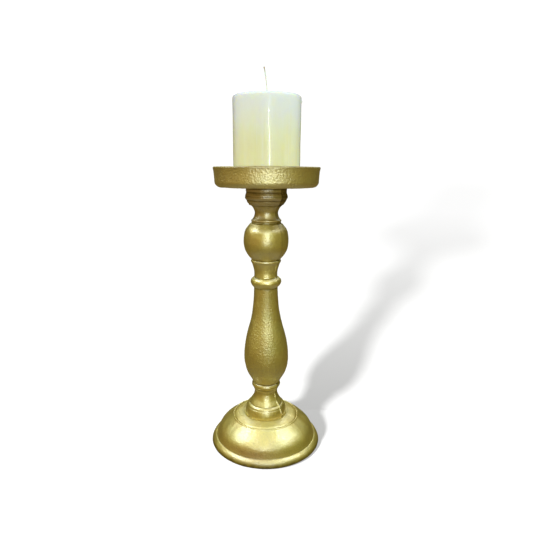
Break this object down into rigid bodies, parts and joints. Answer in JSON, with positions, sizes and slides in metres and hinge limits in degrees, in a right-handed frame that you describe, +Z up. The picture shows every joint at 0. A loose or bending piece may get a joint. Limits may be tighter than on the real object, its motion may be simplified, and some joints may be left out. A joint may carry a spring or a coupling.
{
  "type": "altar candlestick",
  "caption": "Tall turned candlestick with a domed foot, a baluster stem of stacked sections and a shallow drip pan that holds a pillar candle.",
  "frame": {"origin": "on the axis of the stem, at the surface that the felt pads stand on", "axes": "+Z up along the stem; -Y is the side seen in front; the wick leans to -X"},
  "size_m": [0.1356, 0.1356, 0.4486],
  "materials": {
    "cast_gold": "sand-cast aluminium under antique-gold metallic paint, slightly pitted, satin sheen",
    "steel": "zinc-plated steel, machined",
    "felt": "dense dark felt",
    "wax": "ivory paraffin wax, soft sheen, slightly translucent",
    "wick": "braided cotton dipped in wax"
  },
  "bodies": {
    "candlestick": {"foot_dome": "cast_gold", "stem_foot": "cast_gold", "lower_collar": "cast_gold", "pear_baluster": "cast_gold", "bead_ring": "cast_gold", "neck": "cast_gold", "ball_knop": "cast_gold", "upper_spool": "cast_gold", "cup": "cast_gold", "drip_pan": "cast_gold", "flat_washer": "steel", "spring_washer": "steel", "hex_nut": "steel", "tie_rod": "steel", "pricket": "steel", "felt_pads": "felt"},
    "candle": {"candle_wax": "wax", "candle_wick": "wick"}
  },
  "joints": [
    {"name": "candle_lift", "type": "slide", "parent": "candlestick", "child": "candle", "axis": [0, 0, 1], "range_m": [0, 0.12]}
  ]
}
